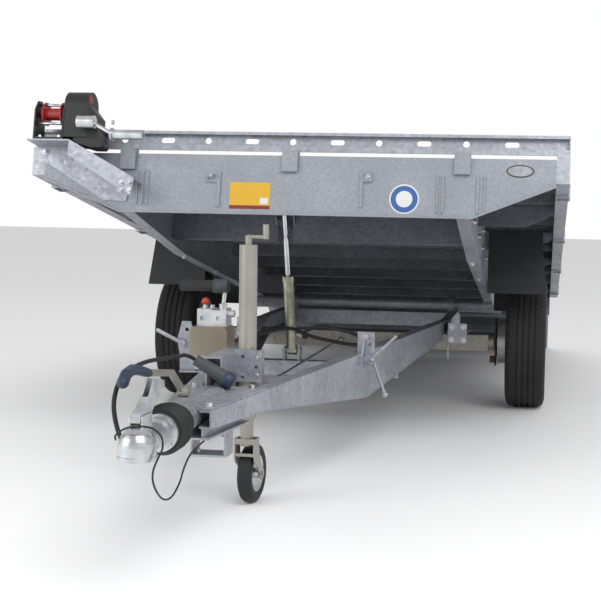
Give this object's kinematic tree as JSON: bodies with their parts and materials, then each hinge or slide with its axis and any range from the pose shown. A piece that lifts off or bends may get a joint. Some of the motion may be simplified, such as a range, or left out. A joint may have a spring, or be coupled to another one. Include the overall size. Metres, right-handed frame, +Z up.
{
  "type": "tilting car transporter trailer",
  "caption": "Single-axle car transporter trailer with a tilting plank bed, rear ramp, V drawbar, hand pump with lift cylinder, jockey wheel and hand winch.",
  "frame": {"origin": "on the ground, midway across and midway between the coupling's nose and the ramp's tip", "axes": "+X to the trailer's right, +Y to the rear, +Z up"},
  "size_m": [2.132, 6.2138, 1.4327],
  "materials": {
    "galvanised": "hot-dip galvanised, spangled",
    "deck_steel": "galvanised plank, dull",
    "bright_zinc": "bright zinc plated",
    "grey_paint": "grey-beige lacquer over zinc",
    "axle_steel": "galvanised axle",
    "rusty_iron": "rusty cast drum plate",
    "rim_silver": "silver wheel lacquer",
    "tyre_rubber": "road tyre",
    "black_rubber": "moulded rubber",
    "black_plastic": "black plastic",
    "dark_grey_plastic": "dark grey plastic",
    "navy_plastic": "navy grip plastic",
    "tank_paint": "warm grey enamel over the tank",
    "aluminium_cast": "cast aluminium",
    "red_paint": "red drum flange",
    "lamp_red": "red lamp lens",
    "panel_steel": "galvanised sheet, evenly dull",
    "barrel_zinc": "yellowish zinc plated barrel",
    "chrome_rod": "hard chrome rod"
  },
  "bodies": {
    "chassis": {"drawbar_left": "galvanised", "drawbar_right": "galvanised", "drawbar_bridge": "galvanised", "overrun_housing": "galvanised", "overrun_bellows": "black_rubber", "coupling_head": "bright_zinc", "coupling_handle": "bright_zinc", "handbrake_lever": "grey_paint", "handbrake_grip": "navy_plastic", "jockey_clamp": "galvanised", "jockey_tube": "grey_paint", "pump_tank": "tank_paint", "pump_head": "aluminium_cast", "pump_lever": "black_plastic", "cylinder_bridge": "galvanised", "latch_left": "galvanised", "latch_right": "galvanised", "axle_tube": "axle_steel", "axle_bracket_left": "galvanised", "axle_bracket_right": "galvanised", "brake_left": "rusty_iron", "brake_right": "rusty_iron", "pivot_cross_tube": "galvanised", "pivot_bearings": "galvanised", "electric_plug": "dark_grey_plastic", "plug_cable": "black_rubber", "breakaway_cable": "black_rubber", "hydraulic_hose": "black_rubber"},
    "jockey_swivel": {"jockey_fork": "grey_paint"},
    "jockey_wheel": {"jockey_tyre": "black_rubber", "jockey_hub": "bright_zinc"},
    "wheel_left": {"tyre_left": "tyre_rubber", "rim_left": "rim_silver"},
    "wheel_right": {"tyre_right": "tyre_rubber", "rim_right": "rim_silver"},
    "bed": {"bed_beam_left": "galvanised", "bed_beam_right": "galvanised", "bed_sills": "galvanised", "bed_stringers": "galvanised", "pivot_tube": "galvanised", "deck_planks": "deck_steel", "side_rail_left": "galvanised", "side_rail_right": "galvanised", "front_panel": "panel_steel", "slotted_rail": "galvanised", "winch_stand": "galvanised", "winch_frame": "black_plastic", "winch_drum": "red_paint", "winch_cover": "black_plastic", "winch_crank": "bright_zinc", "mudflaps": "black_plastic", "rear_lamps": "lamp_red"},
    "ramp": {"ramp_frame": "galvanised", "ramp_deck": "deck_steel"},
    "lift_barrel": {"cylinder_barrel": "barrel_zinc"},
    "lift_rod": {"cylinder_rod": "chrome_rod"}
  },
  "joints": [
    {"name": "wheel_left_spin", "type": "hinge", "parent": "chassis", "child": "wheel_left", "pos_m": [-0.888, 0.37711, 0.327], "axis": [1, 0, 0], "continuous": true},
    {"name": "wheel_right_spin", "type": "hinge", "parent": "chassis", "child": "wheel_right", "pos_m": [0.888, 0.37711, 0.327], "axis": [1, 0, 0], "continuous": true},
    {"name": "jockey_swivel_turn", "type": "hinge", "parent": "chassis", "child": "jockey_swivel", "pos_m": [0.004, -1.96789, 0.22], "axis": [0, 0, 1], "continuous": true},
    {"name": "jockey_spin", "type": "hinge", "parent": "jockey_swivel", "child": "jockey_wheel", "pos_m": [0.00818, -1.90804, 0.1], "axis": [0.9976, -0.0698, 0], "continuous": true},
    {"name": "bed_tilt", "type": "hinge", "parent": "chassis", "child": "bed", "pos_m": [0, 1.0351, 0.459], "axis": [1, 0, 0], "range_deg": [0, 10.66]},
    {"name": "ramp_fold", "type": "hinge", "parent": "bed", "child": "ramp", "pos_m": [0, 2.4508, 0.46584], "axis": [1, 0, 0], "range_deg": [0, 110]},
    {"name": "lift_swing", "type": "hinge", "parent": "chassis", "child": "lift_barrel", "pos_m": [-0.165, -0.43789, 0.346], "axis": [1, 0, 0], "range_deg": [0, 23.15]},
    {"name": "lift_slide", "type": "slide", "parent": "lift_barrel", "child": "lift_rod", "axis": [0, -0.3141, 0.9494], "range_m": [-0.2492, 0]}
  ],
  "couplings": [
    {"joint": "lift_swing", "follows": "bed_tilt", "ratio": 2.1715},
    {"joint": "lift_slide", "follows": "bed_tilt", "m_per_rad": -1.3395}
  ]
}
